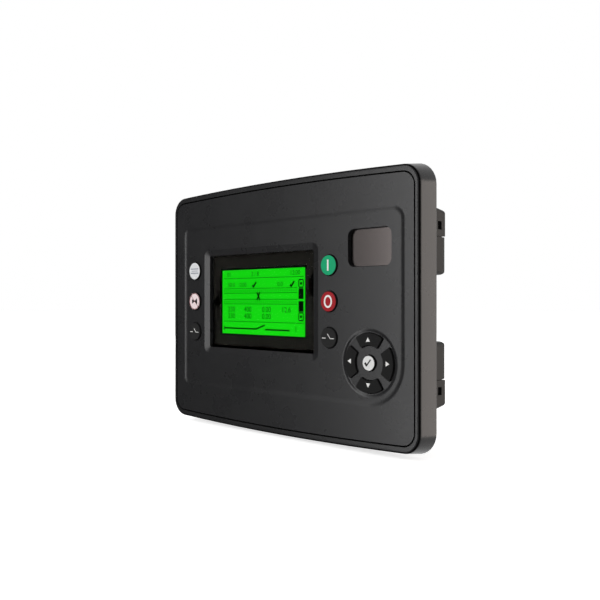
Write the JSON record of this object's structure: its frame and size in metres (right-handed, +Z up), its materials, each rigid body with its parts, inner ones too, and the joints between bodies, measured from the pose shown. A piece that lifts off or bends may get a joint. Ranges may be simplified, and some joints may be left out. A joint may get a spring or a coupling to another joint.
{
  "type": "genset controller",
  "caption": "Panel-mounted generator set controller: bowed black front bezel with a green display, push keys and a navigation pad, and a rear cover with terminal plugs.",
  "frame": {"origin": "centre of the bezel's rear face, in the plane of the mounting panel", "axes": "+X to the right seen from the front, +Y into the panel towards the terminals, +Z up; the front faces -Y"},
  "size_m": [0.245, 0.051, 0.185],
  "materials": {
    "bezel_abs": "fine moulded texture",
    "window_tint": "glossy",
    "black_metal": "matt black",
    "lcd_green": "lit",
    "light_guide": "clear",
    "circuit_board": "solder mask",
    "zinc_steel": "zinc plated",
    "key_rubber": "matt",
    "gold_contact": "plated",
    "key_grey": "satin",
    "key_pale": "satin",
    "key_black": "satin",
    "key_green": "satin",
    "key_red": "satin",
    "key_silver": "satin",
    "badge_satin": "satin",
    "gasket_foam": "matt",
    "cover_abs": "fine moulded texture",
    "connector_black": "satin",
    "plug_black": "satin",
    "bright_tin": "bright tin",
    "relay_blue": "gloss",
    "capacitor_sleeve": "gloss",
    "chip_black": "matt"
  },
  "bodies": {
    "housing": {"front_bezel": "bezel_abs", "display_window": "window_tint", "lcd_frame": "black_metal", "lcd_panel": "lcd_green", "backlight": "light_guide", "display_board": "circuit_board", "display_screws": "zinc_steel", "keypad_mat": "key_rubber", "contact_pads": "gold_contact", "badge_plate": "badge_satin", "panel_gasket": "gasket_foam", "rear_cover": "cover_abs", "upper_hood": "cover_abs", "lower_hood": "cover_abs", "cover_screws": "zinc_steel", "main_board": "circuit_board", "main_board_screws": "zinc_steel", "board_link": "connector_black", "upper_headers": "connector_black", "lower_headers": "connector_black", "terminal_screws": "zinc_steel", "usb_socket": "bright_tin", "relays": "relay_blue", "current_transformers": "connector_black", "capacitors": "capacitor_sleeve", "processor": "chip_black", "memory_chips": "chip_black", "cell_holder": "connector_black", "coin_cell": "bright_tin", "upper_plug_1": "plug_black", "upper_plug_2": "plug_black", "upper_plug_3": "plug_black", "upper_plug_4": "plug_black", "lower_plug_1": "plug_black", "lower_plug_2": "plug_black", "lower_plug_3": "plug_black", "lower_plug_4": "plug_black"},
    "page_key_body": {"page_key": "key_grey"},
    "mute_key_body": {"mute_key": "key_pale"},
    "open_key_body": {"open_key": "key_black"},
    "start_key_body": {"start_key": "key_green"},
    "stop_key_body": {"stop_key": "key_red"},
    "close_key_body": {"close_key": "key_black"},
    "up_key_body": {"up_key": "key_black"},
    "right_key_body": {"right_key": "key_black"},
    "down_key_body": {"down_key": "key_black"},
    "left_key_body": {"left_key": "key_black"},
    "enter_key_body": {"enter_key": "key_silver"}
  },
  "joints": [
    {"name": "page_key_press", "type": "slide", "parent": "housing", "child": "page_key_body", "axis": [0, 1, 0], "range_m": [0, 0.0012], "stiffness_N_per_m": 1200},
    {"name": "mute_key_press", "type": "slide", "parent": "housing", "child": "mute_key_body", "axis": [0, 1, 0], "range_m": [0, 0.0012], "stiffness_N_per_m": 1200},
    {"name": "open_key_press", "type": "slide", "parent": "housing", "child": "open_key_body", "axis": [0, 1, 0], "range_m": [0, 0.0012], "stiffness_N_per_m": 1200},
    {"name": "start_key_press", "type": "slide", "parent": "housing", "child": "start_key_body", "axis": [0, 1, 0], "range_m": [0, 0.0012], "stiffness_N_per_m": 1200},
    {"name": "stop_key_press", "type": "slide", "parent": "housing", "child": "stop_key_body", "axis": [0, 1, 0], "range_m": [0, 0.0012], "stiffness_N_per_m": 1200},
    {"name": "close_key_press", "type": "slide", "parent": "housing", "child": "close_key_body", "axis": [0, 1, 0], "range_m": [0, 0.0012], "stiffness_N_per_m": 1200},
    {"name": "up_key_press", "type": "slide", "parent": "housing", "child": "up_key_body", "axis": [0, 1, 0], "range_m": [0, 0.0012], "stiffness_N_per_m": 1200},
    {"name": "right_key_press", "type": "slide", "parent": "housing", "child": "right_key_body", "axis": [0, 1, 0], "range_m": [0, 0.0012], "stiffness_N_per_m": 1200},
    {"name": "down_key_press", "type": "slide", "parent": "housing", "child": "down_key_body", "axis": [0, 1, 0], "range_m": [0, 0.0012], "stiffness_N_per_m": 1200},
    {"name": "left_key_press", "type": "slide", "parent": "housing", "child": "left_key_body", "axis": [0, 1, 0], "range_m": [0, 0.0012], "stiffness_N_per_m": 1200},
    {"name": "enter_key_press", "type": "slide", "parent": "housing", "child": "enter_key_body", "axis": [0, 1, 0], "range_m": [0, 0.0012], "stiffness_N_per_m": 1200}
  ]
}
